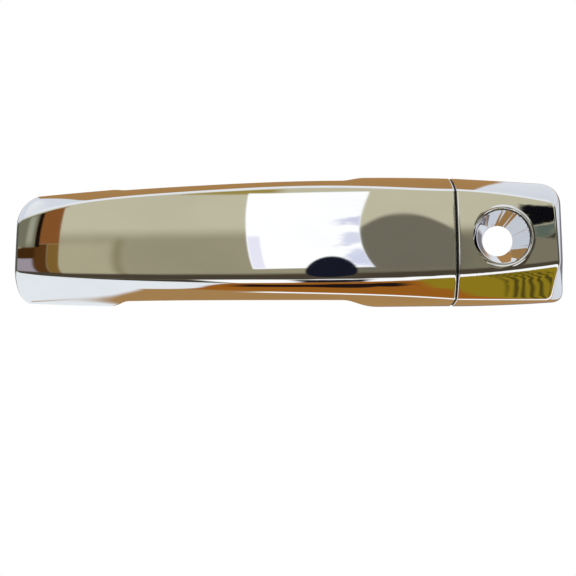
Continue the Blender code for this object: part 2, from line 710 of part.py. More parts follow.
def tube(name, path, radius, sides):
    """A round wire along a path, its rings carried along without twisting."""
    path = [np.array(p) for p in path]
    skin, rings = Skin(), []
    normal = np.array([1.0, 0.2, 0.1])
    for k, point in enumerate(path):
        ahead, behind = path[min(k + 1, len(path) - 1)], path[max(k - 1, 0)]
        along = (ahead - behind) / np.linalg.norm(ahead - behind)
        normal = normal - along * normal.dot(along)
        normal = normal / np.linalg.norm(normal)
        across = np.cross(along, normal)
        turns = [2 * math.pi * i / sides for i in range(sides)]
        rings.append([point + radius * (normal * math.cos(a) + across * math.sin(a)) for a in turns])
    skin.rings([[path[0]] * sides] + rings + [[path[-1]] * sides])
    return skin.finish(name)


def add_return_spring():
    """A torsion spring round the crank's hub: one leg bears on the bracket, the other on the web."""
    cy, cz = CRANK
    radius = 4.6 + GAP + SPRING_WIRE / 2 + 0.3
    per_turn = 14
    steps = SPRING_TURNS * per_turn
    pitch = (36.0 - SPRING_START - SPRING_WIRE) / steps
    coil = []
    for k in range(steps + 1):
        a = -math.pi / 2 + 2 * math.pi * k / per_turn
        coil.append((SPRING_START + pitch * k, cy + radius * math.cos(a), cz + radius * math.sin(a)))
    first, last = coil[0], coil[-1]
    path = [(first[0], 9.0, first[2])] + coil + [(last[0], cy + 8.0, last[2])]
    tube("return_spring", path, SPRING_WIRE / 2, 6)


def add_bolts():
    """Skin bolts with their threaded inserts, and the bolt that draws the cap up."""
    for name, (x, z) in (("front", FRONT_BOLT), ("rear", REAR_BOLT)):
        head = [(0, 2.0), (0, 4.6), (0.5, 5.0), (1.7, 5.0), (1.7, 3.0)]
        shank = [(11.2, 3.0), (11.7, 2.5), (11.7, 0), (1.2, 0), (1.2, 2.0)]
        turned(f"{name}_bolt", "Y", (x, FOOT_Y + 0.35, z), head + shank)
        turned(f"{name}_insert", "Y", (x, GAP, z), [(0, 3.3), (0, 4.5), (8.6, 4.5), (8.6, 3.3)])
    y, z = CAP_BOLT
    shank = [(0, 0), (0, 2.0), (0.5, 2.5), (9.9, 2.5)]
    head = [(9.9, 4.6), (12.4, 4.6), (12.9, 4.1), (12.9, 1.8), (11.4, 1.8), (11.4, 0)]
    turned("cap_bolt", "X", (100.4, y, z), shank + head)


def add_grip_screws():
    px, py = PIVOT
    for name, x in zip(("front", "middle", "rear"), GRIP_SCREWS):
        back = grip_back_y(x) - 1.6 - GAP
        y = back - 8.0
        shank = [(0, 0), (0.8, 1.5), (8.3, 1.5)]
        head = [(8.3, 3.5), (9.6, 3.5), (10.2, 2.9), (10.2, 1.4), (9.0, 1.4), (9.0, 0)]
        screw = turned(f"grip_screw_{name}", "Y", (x, y + 0.3, 0), shank + head, 16)
        set_origin(screw, (px, py, 0))


def rounded(low, high, radius, steps=4):
    """A rounded rectangle, as (Z, X) points."""
    points = []
    corners = ((high[0], high[1], 0), (low[0], high[1], 1), (low[0], low[1], 2), (high[0], low[1], 3))
    for x, z, quarter in corners:
        cx, cz = x + (radius if x == low[0] else -radius), z + (radius if z == low[1] else -radius)
        for k in range(steps + 1):
            a = (quarter + k / steps) * math.pi / 2
            points.append((cz + radius * math.sin(a), cx + radius * math.cos(a)))
    return points


def add_gaskets():
    """Rubber seals between the shells' feet and the door skin, and the bumper that the grip rests on."""
    front_y = -SKIN_T - GASKET_T
    px, _ = PIVOT
    dx, _, dz = DRIVE_PIN
    front = plate("front_gasket", rounded((-106.5, -19), (-79, 18.5), 5), "Y", front_y, GASKET_T)
    cut(
        front,
        box("hook_way", (px - 9, front_y - 1, -8), (px + 7.5, 1, 8)),
        rod("bolt_way", "Y", (FRONT_BOLT[0], front_y - 1, FRONT_BOLT[1]), 5, 5.6),
    )
    rear = plate("rear_gasket", rounded((40.5, -23), (113, 22), 4), "Y", front_y, GASKET_T)
    bumper = (60.0, -15.0)
    cut(
        rear,
        box("leg_way", (dx - 12, front_y - 1, dz - 7.5), (dx + 0.5, 1, dz + 7.5)),
        rod("bolt_way", "Y", (REAR_BOLT[0], front_y - 1, REAR_BOLT[1]), 5, 5.6),
        rod("key_way", "Y", (SLEEVE[0], front_y - 1, SLEEVE[1]), 5, 10.3 + GAP, sides=32),
        box("tongue_way", (98.0, front_y - 1, CAP_BOLT[1] - 6.5), (108.2, 1, CAP_BOLT[1] + 6.5)),
        rod("bumper_seat", "Y", (bumper[0], front_y - 1, bumper[1]), 5, 4.3),
    )
    profile = [(0, 0), (0, 3.2), (0.5, 3.9), (1.7, 3.9), (1.7, 0)]
    turned("rest_bumper", "Y", (bumper[0], front_y - 0.2, bumper[1]), profile)


def add_lock_sleeve():
    """The cast sleeve that guides a lock cylinder to the keyhole, flanged behind the bracket."""
    x, z = SLEEVE
    profile = [(0, 9.3), (0, 9.9), (0.4, 10.3), (22.8, 10.3), (22.8, 12.6), (24.6, 12.6), (24.6, 9.3)]
    turned("lock_sleeve", "Y", (x, KEY_HOLE_Y + 1.0, z), profile, 32)


def add_seam_seal():
    """A thin rubber blade on the cap's front wall, in the seam. It follows the grip's end section."""
    x = (GRIP_REAR_X + CAP_FRONT_X) / 2
    thickness = CAP_FRONT_X - GRIP_REAR_X - 0.4
    inset = 0.5
    (top, bottom), (base_top, base_bottom) = CAP_CREASE, CAP_BASE
    outline = []
    for z in np.linspace(bottom(x) + 2 * inset, top(x) - 2 * inset, 24):
        outline.append((face_y(x, z) + inset, z))
    for crease, base, side in ((top, base_top, 1), (bottom, base_bottom, -1)):
        shares = np.linspace(0.0, 1.0, 7)[::side]
        start_y = face_y(x, crease(x)) + inset
        for share in shares:
            bow = share + WALL_BULGE * share * (1 - share)
            z = crease(x) + (base(x) - crease(x)) * bow - side * inset
            outline.append((start_y + (FOOT_Y - 1 - start_y) * share, z))
    return plate("seam_seal", outline, "X", x - thickness / 2, thickness)


FINISHES = {
    "chrome": ((0.86, 0.87, 0.88), 0.05, 1.0),
    "black_plastic": ((0.03, 0.03, 0.032), 0.5, 0.0),
    "grey_plastic": ((0.55, 0.55, 0.53), 0.45, 0.0),
    "rubber": ((0.02, 0.02, 0.02), 0.8, 0.0),
    "steel": ((0.6, 0.6, 0.6), 0.3, 1.0),
    "zinc": ((0.55, 0.53, 0.42), 0.4, 1.0),
    "brass": ((0.72, 0.56, 0.27), 0.35, 1.0),
}
FINISH_OF = {
    "grip_cover": "chrome", "end_cap": "chrome", "lock_sleeve": "chrome",
    "front_gasket": "rubber", "rear_gasket": "rubber", "rest_bumper": "rubber", "seam_seal": "rubber",
    "front_bolt": "zinc", "rear_bolt": "zinc", "cap_bolt": "zinc", "grip_screw_front": "zinc",
    "grip_screw_middle": "zinc", "grip_screw_rear": "zinc",
    "pivot_bush": "grey_plastic", "rod_clip": "grey_plastic",
    "front_insert": "brass", "rear_insert": "brass",
    "pivot_pin": "steel", "pivot_clip": "steel", "crank_shaft": "steel",
    "crank_shaft_clip": "steel", "drive_pin": "steel", "counterweight": "steel", "weight_rivet": "steel",
    "return_spring": "steel",
}


def paint():
    made = {name: material(name, *facts) for name, facts in FINISHES.items()}
    for obj in PARTS.objects:
        obj.data.materials.clear()
        obj.data.materials.append(made[FINISH_OF.get(obj.name, "black_plastic")])


def main():
    add_base_bracket()
    add_bushes_and_pins()
    add_bell_crank()
    add_return_spring()
    add_bolts()
    add_gaskets()
    add_grip_carrier()
    add_grip_cover()
    add_grip_screws()
    add_cap_carrier()
    add_end_cap()
    add_lock_sleeve()
    add_seam_seal()
    paint()


for stale in list(bpy.data.objects):
    bpy.data.objects.remove(stale)
PARTS = bpy.data.collections.new("car_door_handle")
bpy.context.scene.collection.children.link(PARTS)
main()
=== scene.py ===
"""Looks of a car door's pull handle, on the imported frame: chromed shells, mouldings, and small hardware.

X runs along the handle towards the keyhole, Y into the door, and Z up. Shape lengths are millimetres.
"""

import math

import bmesh
import bpy
import numpy as np
from mathutils import Matrix, Vector


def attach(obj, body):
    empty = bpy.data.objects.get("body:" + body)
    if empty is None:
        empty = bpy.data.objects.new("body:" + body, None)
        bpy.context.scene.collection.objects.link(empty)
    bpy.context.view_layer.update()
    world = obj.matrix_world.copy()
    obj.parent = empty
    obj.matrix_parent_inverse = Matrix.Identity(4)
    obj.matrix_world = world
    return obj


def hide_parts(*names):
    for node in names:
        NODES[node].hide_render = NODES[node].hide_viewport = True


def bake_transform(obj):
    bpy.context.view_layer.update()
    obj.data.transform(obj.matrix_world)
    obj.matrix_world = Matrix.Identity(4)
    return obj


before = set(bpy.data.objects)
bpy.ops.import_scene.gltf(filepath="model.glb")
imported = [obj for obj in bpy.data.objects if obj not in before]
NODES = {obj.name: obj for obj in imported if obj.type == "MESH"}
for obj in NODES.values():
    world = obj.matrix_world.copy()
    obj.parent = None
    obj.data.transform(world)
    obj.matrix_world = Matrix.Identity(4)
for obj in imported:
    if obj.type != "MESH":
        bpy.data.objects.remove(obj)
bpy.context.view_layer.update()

MM = 0.001
WELD = 2e-6  # metres
WALL = 2.0  # chromed shells
FOOT_Y = -3.0
GRIP_REAR_X = 69.6
CAP_FRONT_X = 70.3
APEX = (27.0, -40.0, 400.0)  # the face's highest line: X, Y, and its radius along the handle
CROWN_Z, CROWN_R = -5.5, 85.0
FACET_SLOPE = 1.15
WALL_BULGE = 0.75
GRIP_T = 16.0
FINGER_FRONT, FINGER_REAR = (-77.0, -68.0), (23.0, 39.0)
KEY = (89.7, 0.0)  # X, Z of the keyhole's mouth
KEY_INNER = (89.2, -0.7)  # X, Z of its inner end
KEY_MOUTH_R, KEY_HOLE_R, KEY_HOLE_Y = 12.0, 6.45, -13.5


def line(points, degree):
    """A fair curve Z(X) near a few design points: least squares on a low degree leaves no waves."""
    xs, zs = zip(*points)
    return np.poly1d(np.polyfit(xs, zs, degree))


# Plan lines. The crease lines bound the face, the base lines bound the foot at the door.
GRIP_CREASE = (
    line(
        [
            (-115, 11.2), (-105, 14.5), (-97, 16.6), (-88, 18.4),
            (-56, 20.4), (-13, 21.9), (38, 21.2), (70, 19.7),
        ],
        5,
    ),
    line(
        [(-115, -11.3), (-91, -15.2), (-72, -17.4), (-45, -19.5), (-13, -21.3), (38, -23.7), (70, -25.8)],
        3,
    ),
)
GRIP_BASE = (
    line([(-115, 22.2), (-99, 23.0), (-77, 24.9), (-13, 27.9), (38, 28.0), (70, 27.3)], 3),
    line([(-115, -23.4), (-102, -24.2), (-77, -25.0), (-13, -27.2), (38, -27.2), (70, -27.8)], 3),
)
CAP_CREASE = (
    line([(70, 19.7), (80, 19.0), (96, 16.9), (113, 13.6)], 2),
    line([(70, -25.8), (94, -26.2), (113, -26.3)], 2),
)
CAP_BASE = (
    line([(70, 27.3), (90, 25.9), (118, 23.7)], 2),
    line([(70, -27.8), (90, -27.7), (118, -26.6)], 2),
)
SHOULDER = line(
    [(-115, -12.0), (-72, -15.6), (-13, -17.4), (30, -18.4), (68, -17.2), (90, -15.4), (112, -13.1)],
    4,
)


# ---- The outer surface --------------------------------------------------------------------------
def apex_y(x):
    """Depth of the face's highest line."""
    return APEX[1] + (x - APEX[0]) ** 2 / (2 * APEX[2])


def face_y(x, z):
    """Depth of the face: a crown, met by the chamfer below the shoulder in a soft edge."""
    crown = (z - CROWN_Z) ** 2 / (2 * CROWN_R)
    facet = 0.9 + FACET_SLOPE * (SHOULDER(x) - z)
    soft = 1.6
    return apex_y(x) + (crown + facet + math.sqrt((crown - facet) ** 2 + soft**2)) / 2 - soft / 4


def smooth_step(low, high, x):
    t = min(1.0, max(0.0, (x - low) / (high - low)))
    return t * t * (3 - 2 * t)


def grip_back_y(x):
    """Depth of the grip's back edge: at the door under both feet, lifted between them for the fingers."""
    lifted = apex_y(x) + GRIP_T
    share = smooth_step(*FINGER_FRONT, x) - smooth_step(*FINGER_REAR, x)
    return FOOT_Y + (lifted - FOOT_Y) * share


def cap_back_y(_x):
    return FOOT_Y


def bezier(a, b, c, t):
    return a * (1 - t) ** 2 + b * 2 * t * (1 - t) + c * t * t


def plan_loop(plan, counts, inset):
    """A closed loop of (X, Z) in four sides: top rightwards, right downwards, then back and up.

    The plan holds the top and bottom curves as Z(X), the left and right edges as X(Z), and the corners
    from top left round as (reach along X, reach along Z, flatness). The loop is moved inwards by inset.
    Corner points are shared out evenly between the two sides.
    """
    top, bottom, left, right, corner_sizes = plan
    along, across, corner = counts

    def at_top(x):
        return np.array([x, top(x) - inset])

    def at_bottom(x):
        return np.array([x, bottom(x) + inset])

    def at_left(z):
        return np.array([left(z) + inset, z])

    def at_right(z):
        return np.array([right(z) - inset, z])

    def meet(edge, side):
        x = side(0)[0]
        for _ in range(4):
            x = side(edge(x)[1])[0]
        return edge(x)

    tl, tr = meet(at_top, at_left), meet(at_top, at_right)
    br, bl = meet(at_bottom, at_right), meet(at_bottom, at_left)
    sizes = [(max(0.35, size_x - inset), max(0.35, size_z - inset)) for size_x, size_z, _ in corner_sizes]
    (tl_x, tl_z), (tr_x, tr_z), (br_x, br_z), (bl_x, bl_z) = sizes
    spans = (
        (at_top, tl[0] + tl_x, tr[0] - tr_x, along),
        (at_right, tr[1] - tr_z, br[1] + br_z, across),
        (at_bottom, br[0] - br_x, bl[0] + bl_x, along),
        (at_left, bl[1] + bl_z, tl[1] - tl_z, across),
    )
    runs = [[f(v) for v in np.linspace(a, b, n)] for f, a, b, n in spans]
    arcs = []
    for k, (tip, (_, _, flatness)) in enumerate(zip((tl, tr, br, bl), corner_sizes)):
        before, after = runs[k - 1][-1], runs[k][0]
        tip = tip + ((before + after) / 2 - tip) * flatness
        arcs.append((before, tip, after))
    steps = np.arange(1, corner) / (2 * corner)
    sides = []
    for k, run in enumerate(runs):
        into = [bezier(*arcs[k], 0.5 + t) for t in np.append(0, steps)]
        out = [bezier(*arcs[(k + 1) % 4], t) for t in steps]
        sides.append(into + run + out)
    return sides


def flat_loop(sides):
    return [p for side in sides for p in side]


class Shell:
    """A chromed cover: a face inside a crease loop, and side walls that flare to a base loop."""

    def __init__(self, crease, base, back_y, counts):
        self.crease, self.base, self.back_y, self.counts = crease, base, back_y, counts

    def face_loop(self, inset):
        return plan_loop(self.crease, self.counts, inset)

    def wall_lines(self, inwards):
        """The crease and base points of the wall, inwards of the outer surface, and the crease depths."""
        outer = flat_loop(self.face_loop(0.0))
        depths = [face_y(*point) + inwards for point in outer]
        top = flat_loop(self.face_loop(inwards))
        foot = flat_loop(plan_loop(self.base, self.counts, inwards))
        return list(zip(top, foot, depths))

    def wall_rings(self, shares, inwards, lift=0.0):
        """Rings round the wall: a share of 0 is the crease and 1 is lift above the back edge."""
        lines = self.wall_lines(inwards)
        ends = [self.end_share(line, lift) for line in lines]
        return [[wall_point(line, share * end) for line, end in zip(lines, ends)] for share in shares]

    def end_share(self, line, lift):
        """The share of the wall's whole height at its back edge."""
        x, share = line[1][0], 1.0
        for _ in range(3):
            share = (self.back_y(x) - lift - line[2]) / (FOOT_Y - line[2])
            share = min(1.0, max(0.05, share))
            x = wall_point(line, share)[0]
        return share

    def edge_rings(self, radius, steps):
        """Rings round the soft edge between wall and face, wall side first."""
        rings = []
        for t in np.linspace(0, 1, steps + 1):
            ring = []
            for line, inner in zip(self.wall_lines(0.0), flat_loop(self.face_loop(radius))):
                low = wall_point(line, radius / (FOOT_Y - line[2]))
                mid = wall_point(line, 0.0)
                high = np.array([inner[0], face_y(*inner), inner[1]])
                ring.append(bezier(low, mid, high, t))
            rings.append(ring)
        return rings

    def face_ring(self, inset, depth):
        return [np.array([x, depth(x, z), z]) for x, z in flat_loop(self.face_loop(inset))]


def wall_point(line, share):
    """A point down the bowed wall, from its crease to its base."""
    top, foot, top_y = line
    bow = share + WALL_BULGE * share * (1 - share)
    plan = top + (foot - top) * bow
    return np.array([plan[0], top_y + (FOOT_Y - top_y) * share, plan[1]])


def coons(sides, depth):
    """A grid over the inside of a loop. Its rim is the loop itself, and depth gives Y at (X, Z)."""
    top, right, bottom, left = sides
    top = top + [right[0]]
    right = right + [bottom[0]]
    bottom = (bottom + [left[0]])[::-1]
    left = (left + [sides[0][0]])[::-1]
    n, m = len(top), len(left)
    rows = []
    for j in range(m):
        v = j / (m - 1)
        row = []
        for i in range(n):
            u = i / (n - 1)
            p = (1 - v) * top[i] + v * bottom[i] + (1 - u) * left[j] + u * right[j]
            p = p - (1 - u) * (1 - v) * top[0] - u * (1 - v) * top[-1]
            p = p - (1 - u) * v * bottom[0] - u * v * bottom[-1]
            row.append(np.array([p[0], depth(p[0], p[1]), p[1]]))
        rows.append(row)
    return rows


class Skin:
    """Collects rings and grids of points, welds them, and makes one smooth object."""

    def __init__(self):
        self.bm = bmesh.new()

    def face(self, corners):
        corners = list(dict.fromkeys(corners))
        if len(corners) > 2:
            self.bm.faces.new(corners)

    def grid(self, rows, wrap=False):
        made = [[self.bm.verts.new(Vector(p) * MM) for p in row] for row in rows]
        for a, b in zip(made, made[1:]):
            for i in range(len(a) if wrap else len(a) - 1):
                n = (i + 1) % len(a)
                self.face([a[i], a[n], b[n], b[i]])

    def finish(self, name, sharp=50.0):
        bmesh.ops.remove_doubles(self.bm, verts=self.bm.verts, dist=WELD)
        bmesh.ops.recalc_face_normals(self.bm, faces=self.bm.faces)
        mesh = bpy.data.meshes.new(name)
        self.bm.to_mesh(mesh)
        self.bm.free()
        mesh.shade_smooth()
        mesh.set_sharp_from_angle(angle=math.radians(sharp))
        obj = bpy.data.objects.new(name, mesh)
        bpy.context.scene.collection.objects.link(obj)
        return obj


# ---- Chromed shells -----------------------------------------------------------------------------
# Points along a shell's long sides, across its ends, and round each corner.
GRIP_COUNTS, CAP_COUNTS = (150, 30, 8), (44, 34, 8)
GRIP_EDGE, CAP_EDGE = 0.95, 0.8  # how far the soft edge reaches over the face
SEAM = (0.8, 0.8, 0.0)  # a corner at the seam


def cap_crease_rear(z):
    """X of the cap's rear crease, which leans back in below the shoulder."""
    return 112.4 - 0.05 * z - 0.17 * max(0.0, -11.0 - z)


def grip_shell():
    seam = np.poly1d([GRIP_REAR_X])
    crease = (*GRIP_CREASE, np.poly1d([0.053, -115.0]), seam, ((2.6, 2.6, 0.0), SEAM, SEAM, (3.0, 2.6, 0.0)))
    base = (*GRIP_BASE, np.poly1d([0.053, -116.3]), seam, ((9.0, 9.5, 0.3), SEAM, SEAM, (6.5, 12.0, 0.3)))
    return Shell(crease, base, grip_back_y, GRIP_COUNTS)


def cap_shell():
    seam = np.poly1d([CAP_FRONT_X])
    crease = (*CAP_CREASE, seam, cap_crease_rear, (SEAM, (3.0, 3.0, 0.0), (3.0, 3.0, 0.0), SEAM))
    base = (*CAP_BASE, seam, np.poly1d([-0.012, 117.7]), (SEAM, (8.5, 8.5, 0.1), (5.0, 5.0, 0.0), SEAM))
    return Shell(crease, base, cap_back_y, CAP_COUNTS)


def inner_face_y(x, z):
    return face_y(x, z) + WALL


def rim_rings(shell):
    """The rounded back edge, from the inside of the wall to the outside."""
    steps = ((WALL, 0.5), (WALL - 0.15, 0.15), (WALL - 0.5, 0.0), (0.5, 0.0), (0.15, 0.15), (0.0, 0.5))
    return [shell.wall_rings((1.0,), inwards, lift)[0] for inwards, lift in steps]


def chrome_grip():
    shell, skin = grip_shell(), Skin()
    inner = [shell.face_ring(WALL, inner_face_y)] + shell.wall_rings((0.3, 0.6, 0.9), WALL)
    walls = shell.wall_rings(np.linspace(0.93, 0.14, 10), 0.0)
    skin.grid(inner + rim_rings(shell) + walls + shell.edge_rings(GRIP_EDGE, 6), wrap=True)
    skin.grid(coons(shell.face_loop(GRIP_EDGE), face_y))
    skin.grid(coons(shell.face_loop(WALL), inner_face_y))
    return skin.finish("chrome_grip")


def key_circle(loop, radius, y, inner=0.0):
    """A circle round the keyhole, its points facing those of the loop. inner is 0 at the mouth, 1 within."""
    cx, cz = np.array(KEY) * (1 - inner) + np.array(KEY_INNER) * inner
    ring = []
    for point in loop:
        angle = math.atan2(point[1] - KEY[1], point[0] - KEY[0])
        ring.append(np.array([cx + radius * math.cos(angle), y, cz + radius * math.sin(angle)]))
    return ring


def key_rings(loop, shares, radius, depth):
    """Rings over the face between the loop and a circle round the keyhole."""
    circle = key_circle(loop, radius, 0.0)
    rings = []
    for share in shares:
        ring = []
        for point, end in zip(loop, circle):
            x = point[0] + (end[0] - point[0]) * share
            z = point[1] + (end[2] - point[1]) * share
            ring.append(np.array([x, depth(x, z), z]))
        rings.append(ring)
    return rings


def chrome_cap():
    """The cap is one loft of closed rings, from its back edge over the face and down the key funnel."""
    shell, skin = cap_shell(), Skin()
    walls = shell.wall_rings(np.linspace(0.93, 0.12, 9), 0.0)
    start = flat_loop(shell.face_loop(CAP_EDGE))
    mouth = KEY_MOUTH_R + 1.0
    outside = key_rings(start, np.linspace(0.08, 1.0, 14), mouth, face_y)
    lip_y = face_y(*KEY)
    low_r, low_y = KEY_MOUTH_R - 0.75, lip_y + 1.9
    # The lip rolls over from the face into the funnel.
    funnel = []
    for t in np.linspace(0.15, 1.0, 8):
        ring = key_circle(start, bezier(mouth, KEY_MOUTH_R, low_r, t), 0.0)
        for p in ring:
            top = face_y(p[0] + (p[0] - KEY[0]) * 0.02, p[2])
            p[1] = bezier(top, lip_y + 0.15, low_y, t)
        funnel.append(ring)
    for t in np.linspace(0.12, 1.0, 8):
        r, y = low_r + (KEY_HOLE_R + 0.15 - low_r) * t, low_y + (KEY_HOLE_Y - 0.9 - low_y) * t
        funnel.append(key_circle(start, r, y, t))
    back = ((KEY_HOLE_R, -0.5), (KEY_HOLE_R, 0.0), (KEY_HOLE_R + 1.6, 0.0))
    funnel += [key_circle(start, r, KEY_HOLE_Y + y, 1.0) for r, y in back]
    funnel.append(key_circle(start, KEY_MOUTH_R + 0.4, lip_y + WALL + 2.4))
    inner_start = flat_loop(shell.face_loop(WALL))
    inside = key_rings(inner_start, (1.0, 0.75, 0.5, 0.25, 0.0), KEY_MOUTH_R + 1.2, inner_face_y)
    inner_walls = shell.wall_rings((0.3, 0.6, 0.9), WALL)
    outer = walls + shell.edge_rings(CAP_EDGE, 6) + outside + funnel
    rings = outer + inside + inner_walls + rim_rings(shell)
    skin.grid(rings + rings[:1], wrap=True)
    return skin.finish("chrome_cap")


# ---- Return spring ------------------------------------------------------------------------------
SPRING_SHAFT = (22.25, -11.0)  # Y, Z of its axis
SPRING_WIRE, SPRING_TURNS, SPRING_RADIUS = 1.2, 4, 5.8
SPRING_START, SPRING_END = 30.2, 34.8  # X of its first and last turn


def wire(path, radius, sides):
    """Rings of points along a path, carried along without twisting, and closed at both ends."""
    path = [np.array(p) for p in path]
    rings = [[path[0]] * sides]
    normal = np.array([1.0, 0.2, 0.1])
    for k, point in enumerate(path):
        along = path[min(k + 1, len(path) - 1)] - path[max(k - 1, 0)]
        along = along / np.linalg.norm(along)
        normal = normal - along * normal.dot(along)
        normal = normal / np.linalg.norm(normal)
        across = np.cross(along, normal)
        turns = [2 * math.pi * i / sides for i in range(sides)]
        rings.append([point + radius * (normal * math.cos(a) + across * math.sin(a)) for a in turns])
    return rings + [[path[-1]] * sides]


def torsion_spring():
    """One leg bears on the bracket and the other on the crank's web."""
    cy, cz = SPRING_SHAFT
    per_turn = 40
    steps = SPRING_TURNS * per_turn
    coil = []
    for k in range(steps + 1):
        a = -math.pi / 2 + 2 * math.pi * k / per_turn
        x = SPRING_START + (SPRING_END - SPRING_START) * k / steps
        coil.append((x, cy + SPRING_RADIUS * math.cos(a), cz + SPRING_RADIUS * math.sin(a)))
    first, last = coil[0], coil[-1]
    path = [(first[0], 9.0, first[2])] + coil + [(last[0], cy + 8.0, last[2])]
    skin = Skin()
    skin.grid(wire(path, SPRING_WIRE / 2, 12), wrap=True)
    return skin.finish("torsion_spring", 60.0)


# ---- Materials ----------------------------------------------------------------------------------
class Nodes:
    """A short way to build a node tree."""

    def __init__(self, tree):
        self.tree = tree
        tree.nodes.clear()

    def add(self, kind, links=None, **settings):
        node = self.tree.nodes.new(kind)
        for key, value in settings.items():
            setattr(node, key, value)
        for socket, value in (links or {}).items():
            self.put(node.inputs[socket], value)
        return node

    def put(self, socket, value):
        if isinstance(value, bpy.types.NodeSocket):
            self.tree.links.new(value, socket)
        else:
            socket.default_value = value

    def math(self, operation, a, b=0.0, c=0.0):
        return self.add("ShaderNodeMath", {0: a, 1: b, 2: c}, operation=operation).outputs[0]

    def ramp(self, value, low, high, start=0.0, end=1.0):
        links = {0: value, 1: low, 2: high, 3: start, 4: end}
        return self.add("ShaderNodeMapRange", links, interpolation_type="SMOOTHSTEP").outputs[0]

    def mix(self, share, a, b):
        node = self.add("ShaderNodeMix", data_type="RGBA")
        self.put(node.inputs[0], share)
        self.put(node.inputs[6], a)
        self.put(node.inputs[7], b)
        return node.outputs[2]

    def noise(self, scale, detail=3.0, roughness=0.5, stretch=(1, 1, 1)):
        place = self.add("ShaderNodeTexCoord").outputs["Object"]
        mapped = self.add("ShaderNodeMapping", {"Vector": place, "Scale": stretch}).outputs[0]
        links = {"Vector": mapped, "Scale": scale, "Detail": detail, "Roughness": roughness}
        return self.add("ShaderNodeTexNoise", links).outputs["Fac"]

    def bump(self, height, distance, strength):
        links = {"Height": height, "Distance": distance, "Strength": strength}
        return self.add("ShaderNodeBump", links).outputs[0]


def surface(name):
    made = bpy.data.materials.new(name)
    made.use_nodes = True
    nodes = Nodes(made.node_tree)
    out = nodes.add("ShaderNodeOutputMaterial")
    shader = nodes.add("ShaderNodeBsdfPrincipled")
    nodes.put(out.inputs[0], shader.outputs[0])
    return made, nodes, shader


def rgb(*screen):
    """A linear colour from three screen values of 0 to 255."""
    shares = [v / 255 for v in screen]
    linear = [v / 12.92 if v <= 0.04045 else ((v + 0.055) / 1.055) ** 2.4 for v in shares]
    return (*linear, 1.0)


def chrome_material():
    """Plated chrome: a faint long ripple from the moulding under it, and a fine haze from wiping."""
    made, nodes, shader = surface("chrome")
    haze = nodes.noise(55, 4, 0.6, (0.5, 1, 1))
    colour = nodes.mix(nodes.ramp(haze, 0.35, 0.7), (0.86, 0.87, 0.88, 1), (0.82, 0.83, 0.84, 1))
    nodes.put(shader.inputs["Base Color"], colour)
    nodes.put(shader.inputs["Metallic"], 1.0)
    fine = nodes.noise(900, 3, 0.6)
    rough = nodes.ramp(haze, 0.3, 0.75, 0.018, 0.036)
    nodes.put(shader.inputs["Roughness"], nodes.math("ADD", rough, nodes.ramp(fine, 0.45, 0.8, 0.0, 0.012)))
    ripple = nodes.noise(22, 2, 0.4, (0.4, 1, 1))
    nodes.put(shader.inputs["Normal"], nodes.bump(ripple, 0.00012, 0.35))
    return made


def moulded_material(name, colour, pale, grain=2600, roughness=0.46):
    """A grained plastic moulding, paler where it has been rubbed."""
    made, nodes, shader = surface(name)
    wear = nodes.noise(60, 5, 0.65)
    speck = nodes.noise(grain, 2, 0.5)
    nodes.put(shader.inputs["Base Color"], nodes.mix(nodes.ramp(wear, 0.5, 0.78), colour, pale))
    nodes.put(shader.inputs["Roughness"], nodes.ramp(speck, 0.35, 0.7, roughness - 0.06, roughness + 0.1))
    nodes.put(shader.inputs["Specular IOR Level"], 0.45)
    nodes.put(shader.inputs["Normal"], nodes.bump(speck, 0.00006, 0.55))
    return made


def metal_material(name, colour, tint, roughness, axis=None):
    """Small turned or plated hardware: a patchy tint, and fine tool marks drawn out along an axis."""
    made, nodes, shader = surface(name)
    patch = nodes.noise(180, 4, 0.6)
    nodes.put(shader.inputs["Base Color"], nodes.mix(nodes.ramp(patch, 0.4, 0.7), colour, tint))
    nodes.put(shader.inputs["Metallic"], 1.0)
    scale, stretch = {None: (900, (1, 1, 1)), "X": (437.5, (8, 1, 1)), "Y": (437.5, (1, 8, 1))}[axis]
    marks = nodes.noise(scale, 2, 0.5, stretch)
    nodes.put(shader.inputs["Roughness"], nodes.ramp(marks, 0.3, 0.7, roughness - 0.08, roughness + 0.12))
    nodes.put(shader.inputs["Normal"], nodes.bump(marks, 0.00003, 0.5))
    return made


MATERIALS = {
    "chrome": chrome_material(),
    "black": moulded_material("black_plastic", rgb(34, 34, 36), rgb(58, 58, 60)),
    "grey": moulded_material("grey_plastic", rgb(176, 176, 170), rgb(196, 195, 188), 1800, 0.4),
    "rubber": moulded_material("rubber", rgb(26, 26, 27), rgb(52, 51, 50), 1500, 0.72),
    "steel": metal_material("steel", rgb(178, 180, 184), rgb(150, 150, 152), 0.28, "X"),
    "zinc": metal_material("zinc", rgb(196, 190, 160), rgb(170, 176, 170), 0.34),
    "brass": metal_material("brass", rgb(200, 168, 98), rgb(170, 138, 78), 0.3, "Y"),
}
# The rest of the CAD pieces are black mouldings.
FINISHED = {
    "chrome": ("lock_sleeve",),
    "rubber": ("front_gasket", "rear_gasket", "rest_bumper", "seam_seal"),
    "grey": ("pivot_bush", "rod_clip"),
    "steel": (
        "pivot_pin", "pivot_clip", "crank_shaft", "crank_shaft_clip", "drive_pin", "counterweight",
        "weight_rivet", "return_spring",
    ),
    "zinc": (
        "front_bolt", "rear_bolt", "cap_bolt", "grip_screw_front", "grip_screw_middle", "grip_screw_rear",
    ),
    "brass": ("front_insert", "rear_insert"),
}


def finish_nodes():
    finish_of = {name: finish for finish, names in FINISHED.items() for name in names}
    for name, node in NODES.items():
        node.data.materials.clear()
        node.data.materials.append(MATERIALS[finish_of.get(name, "black")])


